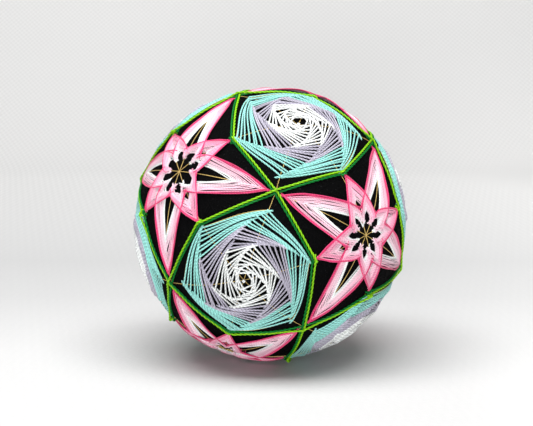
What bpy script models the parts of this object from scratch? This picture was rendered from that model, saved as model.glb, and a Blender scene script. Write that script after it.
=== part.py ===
"""Temari ball: a wound thread ball with eight stitched whirls, six lilies and four pairs of outline rows.

The ball is divided into eight (six four-way centres, eight three-way centres and twelve crossings).
Every stitched motif is laid out from pins at those places, as a maker marks them, and wrapped
onto the wound core. Metres, +Z up, origin at the middle of the small flat foot.
"""

import math
import random

import bmesh
import bpy
from mathutils import Euler, Vector

MM = 0.001

# Driving sizes
CORE_RADIUS = 40.0 * MM
CENTRE_HEIGHT = 40.2 * MM
CLEARANCE = 0.3 * MM
CORE_STEPS = 16

# The foot: a wound ball sits on a slightly pressed place
CORE_FOOT_HEIGHT = 1.2 * MM
FOOT_FLAT_LAYER = 1.0 * MM
NEAR_FOOT = 15.0 * MM

# How the ball is turned where it lies: angles about X, Y and Z, in degrees
TURN = (-88.3, -28.1, -138.1)

# Outline rows: two threads side by side, laid flat
ROW_WIDTH = 0.65 * MM
ROW_TOP_WIDTH = 0.45 * MM
ROW_THICKNESS = 0.7 * MM
ROW_OFFSET = 0.475 * MM
BEND_ANGLE = 26.0
CROSSING_REACH = 1.5 * MM
CROSSING_RAMP = 1.5 * MM
LEG_STEPS = 3
NEAR_FOOT_STEPS = 6

# Whirls: reach as a share of the way to the pins, the eye's size and the whole twist in degrees,
# and where the rings lie between the rim and the eye
WHIRL_REACH_CROSSING = 0.79
WHIRL_REACH_BEND = 0.925
WHIRL_EYE = 2.4
WHIRL_TWIST = 167.0
WHIRL_RINGS = (0.0, 0.08, 0.16, 0.27, 0.40, 0.56, 0.76, 1.0)
WHIRL_EYE_TOP = 0.6 * MM

# Along a whirl's side from one corner to the next: place, and height of the piled thread
WHIRL_SIDE = (
    # along, top
    (0.0, 1.2 * MM),
    (0.36, 0.6 * MM),
    (0.70, 0.75 * MM),
)

# Lilies: lengths along a petal as shares of the way to its pin
LONG_TIP = 0.935
SHORT_TIP = 0.915
PETAL_TIP_TOP = 0.6 * MM
PETAL_EDGE_TOP = 0.7 * MM
PETAL_CROWN_TOP = 1.15 * MM
LILY_HEART_TOP = 1.0 * MM

# Long petal sections: share of the petal's length, half width and half slit in degrees
LONG_PETAL = (
    # along, half, slit
    (0.36, 7.2, 3.2),
    (0.46, 7.1, 1.6),
    (0.56, 6.5, 0.0),
    (0.70, 5.2, 0.0),
    (0.86, 2.8, 0.0),
)

# Lily heart, in degrees from the centre along its rays
HEART_TAB = 4.8
HEART_CLEFT = 7.4
HEART_NOTCH = 9.9
SLIT_FOOT = 11.6
SHORT_PETAL_MIDDLE = 15.0

# Short petal's shoulder: share of the petal's length, and half width in degrees
SHOULDER_ALONG = 0.83
SHOULDER_HALF = 3.6

# Pins: small shifts of the maker's pins from the exact division, in millimetres, in ball axes
PIN_SHIFTS = {
    # grid direction: shift
    (1, 0, 0): (0.0, 0.0, 1.0),
    (0, 0, 1): (0.9, -0.2, 0.0),
    (0, 1, 0): (1.1, 0.0, 1.2),
    (1, 1, 1): (-0.2, 0.5, -0.3),
    (1, -1, 1): (0.4, 0.3, -0.1),
    (1, 0, 1): (-0.3, -0.9, 0.3),
    (1, 1, 0): (-0.8, 0.8, -0.6),
    (0, 1, 1): (0.6, 0.4, -0.4),
    (1, -1, 0): (-0.7, -0.7, -0.8),
    (0, -1, 1): (-0.9, -0.3, -0.3),
    (-1, 1, 0): (0.0, 0.0, -0.6),
}
BEND_SHIFTS = {
    # (lily direction, whirl direction): shift
    ((1, 0, 0), (1, -1, 1)): (-0.2, 0.2, 0.7),
    ((0, 0, 1), (1, -1, 1)): (0.3, -1.4, -0.6),
    ((1, 0, 0), (1, 1, 1)): (-0.3, 0.9, -0.3),
    ((0, 0, 1), (1, 1, 1)): (0.6, -0.2, -0.1),
    ((0, 1, 0), (1, 1, 1)): (-0.7, 0.4, -0.4),
    ((0, 0, 1), (-1, 1, 1)): (0.8, 0.6, 0.1),
    ((0, 0, 1), (-1, -1, 1)): (0.7, -0.6, 0.0),
}
HAND_WOBBLE = 0.35 * MM
HAND_SEED = 7

LILY_CENTRES = ((1, 0, 0), (0, 0, 1), (0, 1, 0), (-1, 0, 0), (0, 0, -1), (0, -1, 0))
WHIRL_CENTRES = tuple((x, y, z) for x in (1, -1) for y in (1, -1) for z in (1, -1))
LOOP_AXES = ((1, 1, 1), (1, -1, -1), (-1, 1, -1), (-1, -1, 1))

# Edges between faces that meet at more than this angle, in degrees, are drawn sharp
SHARP_ANGLE = 50.0

# Colours and finish: red, green, blue, roughness
FINISHES = {
    "black_thread": (0.012, 0.012, 0.014, 0.85),
    "whirl_thread": (0.55, 0.80, 0.78, 0.7),
    "lily_thread": (0.90, 0.42, 0.55, 0.7),
    "light_green_thread": (0.30, 0.62, 0.06, 0.6),
    "dark_green_thread": (0.01, 0.30, 0.07, 0.6),
}

BALL_TURN = Euler([math.radians(angle) for angle in TURN], "XYZ").to_matrix()
CENTRE = Vector((0.0, 0.0, CENTRE_HEIGHT))
hand = random.Random(HAND_SEED)


# The division of the ball

def unit(direction):
    return Vector(direction).normalized()


def wobble():
    """A small unevenness of the hand, the same on every run."""
    return Vector([hand.uniform(-HAND_WOBBLE, HAND_WOBBLE) for _ in range(3)])


def placed(direction, shift):
    """The unit direction of a pin, moved by a shift in millimetres."""
    moved = direction * CORE_RADIUS + (Vector(shift) * MM if shift else wobble())
    return moved.normalized()


def toward(start, end, angle):
    """The direction reached by going an angle in degrees from start towards end."""
    side = (end - start * start.dot(end)).normalized()
    turn = math.radians(angle)
    return start * math.cos(turn) + side * math.sin(turn)


def angle_between(a, b):
    return math.degrees(a.angle(b))


def make_pins():
    """All pins of the division: lilies, whirls, crossings and bends, by grid direction."""
    pins = {}
    crossings = [
        (x, y, z)
        for x in (1, 0, -1)
        for y in (1, 0, -1)
        for z in (1, 0, -1)
        if abs(x) + abs(y) + abs(z) == 2
    ]
    for grid in (*LILY_CENTRES, *WHIRL_CENTRES, *crossings):
        pins[grid] = placed(unit(grid), PIN_SHIFTS.get(grid))
    for lily in LILY_CENTRES:
        for whirl in WHIRL_CENTRES:
            if Vector(lily).dot(Vector(whirl)) > 0:
                exact = toward(unit(lily), unit(whirl), BEND_ANGLE)
                pins[lily, whirl] = placed(exact, BEND_SHIFTS.get((lily, whirl)))
    return pins


def around(centre, first, directions):
    """Named directions in order about a centre, anticlockwise seen from outside, from first."""
    east = (first - centre * centre.dot(first)).normalized()
    north = centre.cross(east)

    def bearing(item):
        angle = math.atan2(item[1].dot(north), item[1].dot(east))
        # A bearing a hair below zero is the first one, not a whole turn
        return (angle + 0.001) % (2 * math.pi)

    return sorted(directions, key=bearing)


# Wrapping flat work onto the core

def on_ball(direction, height):
    """A point a height above the core's surface, pressed up where the ball stands."""
    point = BALL_TURN @ direction * (CORE_RADIUS + height) + CENTRE
    foot = CORE_FOOT_HEIGHT if height <= 0 else max(0.0, FOOT_FLAT_LAYER - height)
    point.z = max(point.z, foot)
    return point


class Fan:
    """Rays from a motif's centre to the pins round it, for laying flat work between them."""

    def __init__(self, centre, targets):
        self.centre = centre
        self.east = (targets[0] - centre * centre.dot(targets[0])).normalized()
        self.north = centre.cross(self.east)
        self.lengths = [angle_between(centre, target) for target in targets]
        step = 2 * math.pi / len(targets)
        self.bearings = []
        for index, target in enumerate(targets):
            bearing = math.atan2(target.dot(self.north), target.dot(self.east))
            turns = round((index * step - bearing) / (2 * math.pi))
            self.bearings.append(bearing + turns * 2 * math.pi)

    def bearing(self, ray):
        """The true bearing of a ray number, which may lie between two rays."""
        count = len(self.bearings)
        low = math.floor(ray)
        start = self.bearings[low % count] + (low // count) * 2 * math.pi
        end = self.bearings[(low + 1) % count] + ((low + 1) // count) * 2 * math.pi
        return start + (end - start) * (ray - low)

    def flat(self, ray, distance, aside=0.0):
        """Flat coordinates in degrees, a distance out along a ray and aside from it."""
        bearing = self.bearing(ray)
        out = Vector((math.cos(bearing), math.sin(bearing)))
        left = Vector((-out.y, out.x))
        return out * distance + left * aside

    def direction(self, flat):
        """The direction on the ball of flat coordinates in degrees."""
        length = math.radians(flat.length)
        if length == 0:
            return self.centre.copy()
        side = (self.east * flat.x + self.north * flat.y).normalized()
        return self.centre * math.cos(length) + side * math.sin(length)


def wrapped_pad(name, fan, points, faces, tops):
    """A flat sheet of faces, extruded and wrapped on the ball with its own top heights."""
    bm = bmesh.new()
    number = bm.verts.layers.int.new("number")
    verts = []
    for index, point in enumerate(points):
        vert = bm.verts.new((point.x, point.y, 0.0))
        vert[number] = index
        verts.append(vert)
    for face in faces:
        bm.faces.new([verts[index] for index in face])
    bmesh.ops.triangulate(bm, faces=bm.faces[:])
    extruded = bmesh.ops.extrude_face_region(bm, geom=bm.faces[:], use_keep_orig=True)
    upper = {item for item in extruded["geom"] if isinstance(item, bmesh.types.BMVert)}
    for vert in bm.verts:
        height = tops[vert[number]] if vert in upper else CLEARANCE
        vert.co = on_ball(fan.direction(vert.co.xy), height)
    bmesh.ops.recalc_face_normals(bm, faces=bm.faces[:])
    return finished(name, bm)


def finished(name, bm):
    mesh = bpy.data.meshes.new(name)
    bm.to_mesh(mesh)
    bm.free()
    mesh.shade_smooth()
    mesh.set_sharp_from_angle(angle=math.radians(SHARP_ANGLE))
    thing = bpy.data.objects.new(name, mesh)
    ball_collection().objects.link(thing)
    return thing


def ball_collection():
    found = bpy.data.collections.get("temari_ball")
    if found is None:
        found = bpy.data.collections.new("temari_ball")
        bpy.context.scene.collection.children.link(found)
    return found


def finish(name):
    """A plain thread material."""
    found = bpy.data.materials.get(name)
    if found is None:
        red, green, blue, roughness = FINISHES[name]
        found = bpy.data.materials.new(name)
        found.use_nodes = True
        shader = found.node_tree.nodes["Principled BSDF"]
        shader.inputs["Base Color"].default_value = (red, green, blue, 1.0)
        shader.inputs["Roughness"].default_value = roughness
        shader.inputs["Metallic"].default_value = 0.0
    return found


# The pieces

def make_core():
    """The wound ball: a cube cut into even steps and rounded, with its pressed place at the foot."""
    bm = bmesh.new()
    bmesh.ops.create_cube(bm, size=2.0)
    bmesh.ops.subdivide_edges(bm, edges=bm.edges[:], cuts=CORE_STEPS - 1, use_grid_fill=True)
    to_ball = BALL_TURN.transposed()
    for vert in bm.verts:
        even = Vector([math.tan(value * math.pi / 4) for value in vert.co])
        vert.co = on_ball(to_ball @ even.normalized(), 0.0)
    bmesh.ops.triangulate(bm, faces=bm.faces[:])
    core = finished("core", bm)
    core.data.materials.append(finish("black_thread"))


def make_whirl(number, grid, pins):
    """A six-sided whirl: rings of six corners, each smaller and turned on from the last."""
    centre = pins[grid]
    targets = []
    for axis in range(3):
        crossing = tuple(0 if index == axis else grid[index] for index in range(3))
        lily = tuple(grid[index] if index == axis else 0 for index in range(3))
        targets.append((WHIRL_REACH_CROSSING, pins[crossing]))
        targets.append((WHIRL_REACH_BEND, pins[lily, grid]))
    targets = around(centre, targets[0][1], targets)
    fan = Fan(centre, [pin for _, pin in targets])
    reach = [share * length for (share, _), length in zip(targets, fan.lengths)]
    mean_reach = sum(reach) / len(reach)

    points = []
    tops = []
    for share in WHIRL_RINGS:
        size = (WHIRL_EYE / mean_reach) ** share
        turn = WHIRL_TWIST * share / 60.0
        even = min(1.0, share * 3)
        corners = []
        for index in range(6):
            own = reach[index] + (mean_reach - reach[index]) * even
            corners.append(fan.flat(index + turn, own * size))
        for index, corner in enumerate(corners):
            for along, top in WHIRL_SIDE:
                points.append(corner.lerp(corners[(index + 1) % 6], along))
                tops.append(top)
    points.append(Vector((0.0, 0.0)))
    tops.append(WHIRL_EYE_TOP)

    count = 6 * len(WHIRL_SIDE)
    faces = []
    for ring in range(len(WHIRL_RINGS) - 1):
        outer = ring * count
        inner = outer + count
        for index in range(count):
            after = (index + 1) % count
            faces.append((outer + index, outer + after, inner + index))
            faces.append((outer + after, inner + after, inner + index))
    last = (len(WHIRL_RINGS) - 1) * count
    for index in range(count):
        faces.append((last + index, last + (index + 1) % count, len(points) - 1))
    whirl = wrapped_pad(f"whirl_{number}", fan, points, faces, tops)
    whirl.data.materials.append(finish("whirl_thread"))


def make_lily(number, grid, pins):
    """A lily: four long petals, each with a slit, and four short ones, round an open heart."""
    centre = pins[grid]
    axis = next(index for index in range(3) if grid[index])
    others = [index for index in range(3) if index != axis]
    rays = []
    for first, second in ((1, 0), (1, 1), (0, 1), (-1, 1), (-1, 0), (-1, -1), (0, -1), (1, -1)):
        target = list(grid)
        target[others[0]] = first
        target[others[1]] = second
        target = tuple(target)
        if abs(first) + abs(second) == 1:
            rays.append((LONG_TIP, pins[target]))
        else:
            rays.append((SHORT_TIP, pins[grid, target]))
    rays = around(centre, rays[0][1], rays)
    fan = Fan(centre, [pin for _, pin in rays])

    points = []
    tops = []
    known = {}

    def add(flat, top):
        key = (round(flat.x, 4), round(flat.y, 4))
        if key not in known:
            known[key] = len(points)
            points.append(flat)
            tops.append(top)
        return known[key]

    faces = []
    for long_ray in range(0, 8, 2):
        tip_distance = fan.lengths[long_ray] * LONG_TIP
        for side in (1, -1):
            short_ray = long_ray + side
            short_length = fan.lengths[short_ray % 8] * SHORT_TIP
            shoulder = SHOULDER_ALONG * short_length
            tab = add(fan.flat(long_ray, HEART_TAB), LILY_HEART_TOP)
            notch = add(fan.flat(long_ray, HEART_NOTCH), LILY_HEART_TOP)
            cleft = add(fan.flat(long_ray + side / 2, HEART_CLEFT), PETAL_EDGE_TOP)
            short_tab = add(fan.flat(short_ray, HEART_TAB), LILY_HEART_TOP)
            middle = add(fan.flat(short_ray, SHORT_PETAL_MIDDLE), PETAL_CROWN_TOP)
            ridge = add(fan.flat(short_ray, shoulder), LILY_HEART_TOP)
            short_tip = add(fan.flat(short_ray, short_length), PETAL_TIP_TOP)
            edge = add(fan.flat(short_ray, shoulder, -side * SHOULDER_HALF), PETAL_EDGE_TOP)
            slit_foot = add(fan.flat(long_ray, SLIT_FOOT, side * LONG_PETAL[0][2]), PETAL_EDGE_TOP)
            sections = []
            for along, half, slit in LONG_PETAL:
                distance = along * tip_distance
                inner_top = PETAL_EDGE_TOP if slit else LILY_HEART_TOP
                inner = add(fan.flat(long_ray, distance, side * slit), inner_top)
                crown = add(fan.flat(long_ray, distance, side * (slit + half) / 2), PETAL_CROWN_TOP)
                outer = add(fan.flat(long_ray, distance, side * half), PETAL_EDGE_TOP)
                sections.append((inner, crown, outer))
            tip = add(fan.flat(long_ray, tip_distance), PETAL_TIP_TOP)

            join = sections[0][2]
            faces.append((tab, notch, slit_foot, cleft))
            faces.append((cleft, slit_foot, sections[0][0], sections[0][1]))
            faces.append((cleft, sections[0][1], join, middle))
            faces.append((cleft, middle, short_tab))
            faces.append((join, edge, ridge, middle))
            faces.append((edge, short_tip, ridge))
            for before, after in zip(sections, sections[1:]):
                faces.append((before[0], after[0], after[1], before[1]))
                faces.append((before[1], after[1], after[2], before[2]))
            inner, crown, outer = sections[-1]
            faces.append((inner, tip, crown))
            faces.append((crown, tip, outer))
    lily = wrapped_pad(f"lily_{number}", fan, points, faces, tops)
    lily.data.materials.append(finish("lily_thread"))


def loop_corners(axis, pins):
    """The pins that an outline loop runs through: crossings and bends in turn, as (kind, pin)."""
    normal = unit(axis)
    stops = []
    for grid, pin in pins.items():
        if isinstance(grid[0], tuple):
            lily, whirl = grid
            sign = 1 if Vector(lily).dot(Vector(axis)) > 0 else -1
            beside = tuple(sign * axis[i] if lily[i] else -sign * axis[i] for i in range(3))
            if whirl == beside:
                stops.append((grid, pin))
        elif abs(Vector(grid).dot(Vector(axis))) < 0.5 and sum(map(abs, grid)) == 2:
            stops.append((grid, pin))
    return around(normal, stops[0][1], stops)


def row_station(path_point, side, offset):
    """A point of a row, moved aside from its loop's middle line."""
    return (path_point + side * (offset / CORE_RADIUS)).normalized()


def make_rows(number, axis, pins):
    """The light and the dark row of one outline loop, raised where they pass over another loop."""
    stops = loop_corners(axis, pins)
    normals = []
    for (_, here), (_, there) in zip(stops, stops[1:] + stops[:1]):
        normals.append(here.cross(there).normalized())
    stations = []
    reach = math.degrees(CROSSING_REACH / CORE_RADIUS)
    ramp = math.degrees(CROSSING_RAMP / CORE_RADIUS)
    for index, (grid, here) in enumerate(stops):
        there_grid, there = stops[(index + 1) % len(stops)]
        before, after = normals[index - 1], normals[index]
        side = (before + after).normalized() / math.cos(before.angle(after) / 2)
        over = passes_over(number, grid)
        stations.append((here, side, over))
        length = angle_between(here, there)
        near = (on_ball(here, 0).length < NEAR_FOOT) or (on_ball(there, 0).length < NEAR_FOOT)
        steps = NEAR_FOOT_STEPS if near else LEG_STEPS
        marks = []
        start, end = 0.0, length
        if over:
            marks += [(reach, True), (reach + ramp, False)]
            start = reach + ramp
        if passes_over(number, there_grid):
            end = length - reach - ramp
        for step in range(1, steps):
            marks.append((start + (end - start) * step / steps, False))
        if passes_over(number, there_grid):
            marks += [(length - reach - ramp, False), (length - reach, True)]
        for angle, raised in marks:
            stations.append((toward(here, there, angle), after, raised))

    for kind, sign in (("light", 1), ("dark", -1)):
        bm = bmesh.new()
        rings = []
        for point, side, raised in stations:
            low = CLEARANCE + (ROW_THICKNESS + CLEARANCE if raised else 0.0)
            high = low + ROW_THICKNESS
            ring = []
            for aside, height in (
                (-ROW_WIDTH / 2, low),
                (ROW_WIDTH / 2, low),
                (ROW_TOP_WIDTH / 2, high),
                (-ROW_TOP_WIDTH / 2, high),
            ):
                direction = row_station(point, side, sign * ROW_OFFSET + aside)
                ring.append(bm.verts.new(on_ball(direction, height)))
            rings.append(ring)
        for ring, following in zip(rings, rings[1:] + rings[:1]):
            for index in range(4):
                after = (index + 1) % 4
                bm.faces.new((ring[index], ring[after], following[after], following[index]))
        bmesh.ops.triangulate(bm, faces=bm.faces[:])
        bmesh.ops.recalc_face_normals(bm, faces=bm.faces[:])
        row = finished(f"{kind}_row_{number}", bm)
        row.data.materials.append(finish(f"{kind}_green_thread"))


def passes_over(number, grid):
    """Whether a loop runs over the other one at a crossing: the later loop lies on top."""
    if isinstance(grid[0], tuple):
        return False
    meeting = [
        index + 1
        for index, axis in enumerate(LOOP_AXES)
        if abs(Vector(axis).dot(Vector(grid))) < 0.5
    ]
    return number == max(meeting)


def main():
    for thing in list(bpy.data.objects):
        bpy.data.objects.remove(thing, do_unlink=True)
    pins = make_pins()
    make_core()
    for number, grid in enumerate(WHIRL_CENTRES, start=1):
        make_whirl(number, grid, pins)
    for number, grid in enumerate(LILY_CENTRES, start=1):
        make_lily(number, grid, pins)
    for number, axis in enumerate(LOOP_AXES, start=1):
        make_rows(number, axis, pins)


main()
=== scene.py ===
"""Temari ball, dressed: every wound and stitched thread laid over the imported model.

The frame gives eight whirls, six lilies, four pairs of outline rows and the wound ball as plain
solids. Here each is replaced by its threads, laid one by one in the order that a maker stitches
them: every thread rests on those already down, and dives into the ball at its stitches.
Metres, +Z up, origin at the middle of the small flat foot.
"""

import math
import random
from itertools import product

import bmesh
import bpy
import numpy as np
from mathutils import Euler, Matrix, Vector


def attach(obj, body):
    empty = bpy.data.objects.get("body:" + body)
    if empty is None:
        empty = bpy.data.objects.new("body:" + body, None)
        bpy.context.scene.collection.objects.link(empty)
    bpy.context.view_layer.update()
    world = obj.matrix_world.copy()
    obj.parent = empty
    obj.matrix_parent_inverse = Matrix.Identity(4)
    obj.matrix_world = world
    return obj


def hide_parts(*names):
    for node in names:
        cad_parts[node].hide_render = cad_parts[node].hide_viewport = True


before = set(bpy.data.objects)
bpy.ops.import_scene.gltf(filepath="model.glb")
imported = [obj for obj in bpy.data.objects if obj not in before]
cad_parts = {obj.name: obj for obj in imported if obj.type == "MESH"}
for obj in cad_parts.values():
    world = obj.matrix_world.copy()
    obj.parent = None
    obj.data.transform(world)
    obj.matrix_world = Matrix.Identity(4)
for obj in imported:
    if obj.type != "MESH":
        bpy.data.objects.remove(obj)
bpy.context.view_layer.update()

bl_info = {
    "name": "Temari ball threads",
    "version": (1, 0, 0),
    "blender": (4, 5, 0),
    "location": "View3D > Sidebar > Temari",
    "description": "Winds and stitches the threads of a temari ball over its plain solids",
    "category": "Add Mesh",
}

MM = 0.001

# The ball, as in the frame: radius of the wound core, height of its middle over the floor, height
# up to which it is pressed where it stands, and turn in degrees
CORE_RADIUS = 40.0 * MM
CENTRE_HEIGHT = 40.2 * MM
FOOT_HEIGHT = 1.0 * MM
TURN = (-88.3, -28.1, -138.1)
BALL_TURN = np.array(Euler([math.radians(angle) for angle in TURN], "XYZ").to_matrix())

# One degree on the ball's surface, along it
DEGREE = math.radians(1.0) * CORE_RADIUS

# The division of the ball: grid directions of the motifs, and of the loops' axes
LILY_CENTRES = ((1, 0, 0), (0, 0, 1), (0, 1, 0), (-1, 0, 0), (0, 0, -1), (0, -1, 0))
WHIRL_CENTRES = tuple(product((1, -1), repeat=3))
LOOP_AXES = ((1, 1, 1), (1, -1, -1), (-1, 1, -1), (-1, -1, 1))
BEND_ANGLE = 26.0

# Small shifts of the maker's pins from the exact division, in millimetres, in ball axes, by grid
# direction, and for the bends by those of a lily and a whirl
PIN_SHIFTS = {
    (1, 0, 0): (0.0, 0.0, 1.0),
    (0, 0, 1): (0.9, -0.2, 0.0),
    (0, 1, 0): (1.1, 0.0, 1.2),
    (1, 1, 1): (-0.2, 0.5, -0.3),
    (1, -1, 1): (0.4, 0.3, -0.1),
    (1, 0, 1): (-0.3, -0.9, 0.3),
    (1, 1, 0): (-0.8, 0.8, -0.6),
    (0, 1, 1): (0.6, 0.4, -0.4),
    (1, -1, 0): (-0.7, -0.7, -0.8),
    (0, -1, 1): (-0.9, -0.3, -0.3),
    (-1, 1, 0): (0.0, 0.0, -0.6),
}
BEND_SHIFTS = {
    ((1, 0, 0), (1, -1, 1)): (-0.2, 0.2, 0.7),
    ((0, 0, 1), (1, -1, 1)): (0.3, -1.4, -0.6),
    ((1, 0, 0), (1, 1, 1)): (-0.3, 0.9, -0.3),
    ((0, 0, 1), (1, 1, 1)): (0.6, -0.2, -0.1),
    ((0, 1, 0), (1, 1, 1)): (-0.7, 0.4, -0.4),
    ((0, 0, 1), (-1, 1, 1)): (0.8, 0.6, 0.1),
    ((0, 0, 1), (-1, -1, 1)): (0.7, -0.6, 0.0),
}
HAND_WOBBLE = 0.35 * MM

# Seeds: of the pins, of the ground's finish, and of the twist and the lie of each thread
HAND_SEED = 7
STRAND_SEED = 11
WINDING_SEEDS = (21, 22)
GUIDE_SEEDS = (31, 32)
WHIRL_SEEDS = (100, 200)
LILY_SEEDS = (300, 400)
ROW_SEEDS = (500, 51)

# How threads lie: steps at which one feels its rest, how far it sinks in, the bend that its
# tension allows, the height that a soft pile tends to, and the dive of its ends
FEEL_STEP = 0.25 * MM
SINK = 0.5
TENSION_RADIUS = 25.0 * MM
PILE_HEIGHT = 1.0 * MM
DIVE_LENGTH = 0.5 * MM
DIVE_DEPTH = 0.35 * MM

# Maps of what is laid so far: their step, and how far they reach from a motif's centre
RELIEF_STEP = 0.1 * MM
WHIRL_RELIEF = 24.0 * MM
LILY_RELIEF = 34.0 * MM

# Whirls: reach as a share of the way to the pins, and for each colour in turn the number of
# rows, and the steps of a corner along its side and inwards from row to row
WHIRL_REACH_CROSSING = 0.79
WHIRL_REACH_BEND = 0.94
WHIRL_BANDS = (
    ("turquoise", 7, 1.21 * MM, 0.21 * MM),
    ("lilac", 6, 1.21 * MM, 0.19 * MM),
    ("white", 9, 1.3 * MM, 0.38 * MM),
)

# A whirl's threads: how far they run past a corner and start before one, their bow, 1 mm on a
# thread of 20 mm, and its crest, and how uneven their corners, steps, bows and dyes are
WHIRL_TAIL = (0.7 * MM, 1.2 * MM)
WHIRL_TAIL_SHARE = 0.25
WHIRL_START = 0.2 * MM
WHIRL_BOW = 0.05 / (20.0 * MM)
BOW_LEAN = 1.6
BOW_CREST = 5.66
WHIRL_UNEVEN = 0.1 * MM
WHIRL_STEP_UNEVEN = 0.26
WHIRL_BOW_UNEVEN = (0.8, 1.2)
WHIRL_DYE_UNEVEN = (0.88, 1.05)

# The small knot in a whirl's eye: radius of its ring and of its thread, height, and shift
KNOT_RADIUS = 0.25 * MM
KNOT_THREAD = 0.29 * MM
KNOT_HEIGHT = 0.5 * MM
KNOT_SHIFT = 0.1 * MM
KNOT_POINTS = 10

# Lilies: the rays to their pins, for a long and a short petal by turns, as steps along the two
# other axes of the division, and the two sides of each petal
LILY_RAYS = ((1, 0), (1, 1), (0, 1), (-1, 1), (-1, 0), (-1, -1), (0, -1), (1, -1))
PETAL_SIDES = tuple(product(range(8), (1, -1)))

# Petals: the first and the last row of a side. Each starts on the neighbouring ray and runs past
# points along and aside from its own ray to a tip on it, in degrees, for a ray of the given length
LONG_FIRST = (5.3, ((6.3, 4.45), (9.6, 3.95), (16.0, 2.75), (22.0, 1.4), (25.0, 0.55)), 27.0)
LONG_LAST = (11.0, ((12.8, 8.06), (19.7, 7.2), (26.5, 5.75), (33.4, 3.95), (37.7, 2.1)), 41.8)
SHORT_FIRST = (5.3, ((6.2, 4.3), (9.0, 3.5), (11.2, 2.3), (13.0, 1.15), (14.1, 0.45)), 15.0)
SHORT_LAST = (9.9, ((9.8, 6.5), (14.5, 5.2), (19.0, 3.3), (21.8, 1.8), (23.4, 0.9)), 25.0)
LONG_LENGTH = 45.0
SHORT_LENGTH = 26.0

# A petal's threads: how far they run past their stitches, how uneven their lines, their first
# stitches and their dyes are, and the widest gap in a side, as a share of it
PETAL_TAIL = 0.35 * MM
PETAL_UNEVEN = 0.08 * MM
STITCH_UNEVEN = 0.3 * MM
PETAL_DYE_UNEVEN = (0.8, 1.04)
PETAL_GAP = 0.06

# The last row of a petal lies this share of a step beside the one before it
LAST_STEP = 0.6

# How much wider a lily's heart opens at its first rows than the others do
HEART_OPEN = {(1, 0, 0): 0.2}

# Share of a petal's rows, from the first, where each colour begins
LONG_COLOURS = (
    (0.0, "white"),
    (0.15, "blush"),
    (0.5, "pale_pink"),
    (0.8, "pink"),
    (0.92, "hot_pink"),
)
SHORT_COLOURS = ((0.0, "blush"), (0.2, "pale_pink"), (0.5, "pink"), (0.92, "hot_pink"))

# Outline rows: distance from their loop's line, run past a corner, unevenness and step
ROW_OFFSET = 0.35 * MM
ROW_TAIL = (0.5 * MM, 1.1 * MM)
ROW_UNEVEN = 0.06 * MM
ROW_STEP = 0.36 * MM

# How rows rest, in radii: height on the bare ball, reach of a touch, and where one crosses another
ROW_REST = 0.75
ROW_TOUCH = 1.7
ROW_CLOSE = 0.9

# Guide threads: how far they wander, and lie out round a whirl, their steps, height in radii, and
# least cosine between two pins, by the zeros in the pins' grid directions
GUIDE_WANDER = 0.25 * MM
GUIDE_OUT = 0.025
GUIDE_STEPS = 24
GUIDE_REST = 1.1
GUIDE_CLOSE = {(2, 1): 0.7, (2, 0): 0.57, (0, 1): 0.81}

# Ground threads: strands of the last winding that stand out, and the points of each
GROUND_STRANDS = 150
GROUND_POINTS = 84

# The ground's finish: how many ways its strands run, and the width of one
STRAND_WAYS = 7
STRAND_WIDTH = 0.28 * MM

# Points round a thread, and the reach of a two-ply one round each of its plies
THREAD_SIDES = 5
ROW_SIDES = 8
PLY_REACH = (1.0, 0.88, 0.66, 0.88)

# Length of one ply's turn in each kind of thread
GROUND_PLY = 0.5 * MM
FINE_PLY = 0.42 * MM
WHIRL_PLY = 1.1 * MM
PETAL_PLY = 0.8 * MM
ROW_PLY = 1.4 * MM

# Backdrop: half its width, its front edge, where and how it turns up, its run beyond the turn, and
# the step of its fine weave
FLOOR_SIDE = 2.5
FLOOR_FRONT = -1.2
FLOOR_BACK = 0.42
CURVE_RADIUS = 0.25
CURVE_DEGREES = 80.0
CURVE_STEPS = 16
BACKDROP_RUN = (0.0, 0.26, 1.5)
WEAVE_STEP = 3.2 * MM

# Light: name, place, aim, size and power of each softbox, then colour and strength of the room
SOFTBOXES = (
    ("overhead_softbox", (-0.05, -0.13, 0.62), (-0.04, 0.0, 0.03), (0.75, 0.3), 7.2),
    ("front_softbox", (-0.03, -1.0, 0.11), (0.0, 0.0, 0.05), (0.25, 0.2), 7.6),
)
ROOM_COLOUR = (0.96, 0.97, 1.0, 1.0)
ROOM_STRENGTH = 0.1

# Camera: place, tilt from straight down in degrees, and lens and sensor in millimetres
CAMERA_PLACE = (-0.00116, -0.44442, 0.11377)
CAMERA_TILT = 81.0
CAMERA_LENS = 101.58
CAMERA_SENSOR = 36.0


# Colours

def shade(screen):
    """A colour as a screen shows it, 0 to 255, in the linear values that shaders use."""
    linear = []
    for value in screen:
        part = value / 255
        linear.append(part / 12.92 if part <= 0.04045 else ((part + 0.055) / 1.055) ** 2.4)
    return tuple(linear)


def colour_setting(name, description, *screen):
    return bpy.props.FloatVectorProperty(
        name=name, description=description, default=shade(screen), subtype="COLOR", min=0, max=1
    )


def size_setting(name, description, size):
    return bpy.props.FloatProperty(
        name=name, description=description, default=size * MM, subtype="DISTANCE", unit="LENGTH"
    )


class TemariSizes(bpy.types.PropertyGroup):
    """Thicknesses of the threads, and rows in a petal"""

    whirl_thread: size_setting("Whirl thread", "Diameter of the whirls' thread", 0.52)
    lily_thread: size_setting("Lily thread", "Diameter of the lilies' thread", 0.37)
    outline_thread: size_setting("Outline thread", "Diameter of the green threads", 0.7)
    guide_thread: size_setting("Guide thread", "Diameter of the gold guide threads", 0.18)
    ground_thread: size_setting("Ground thread", "Diameter of the black winding", 0.2)
    petal_rows: bpy.props.IntProperty(
        name="Petal rows", description="Rows of thread on each side of a petal", default=11, min=3
    )


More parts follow.
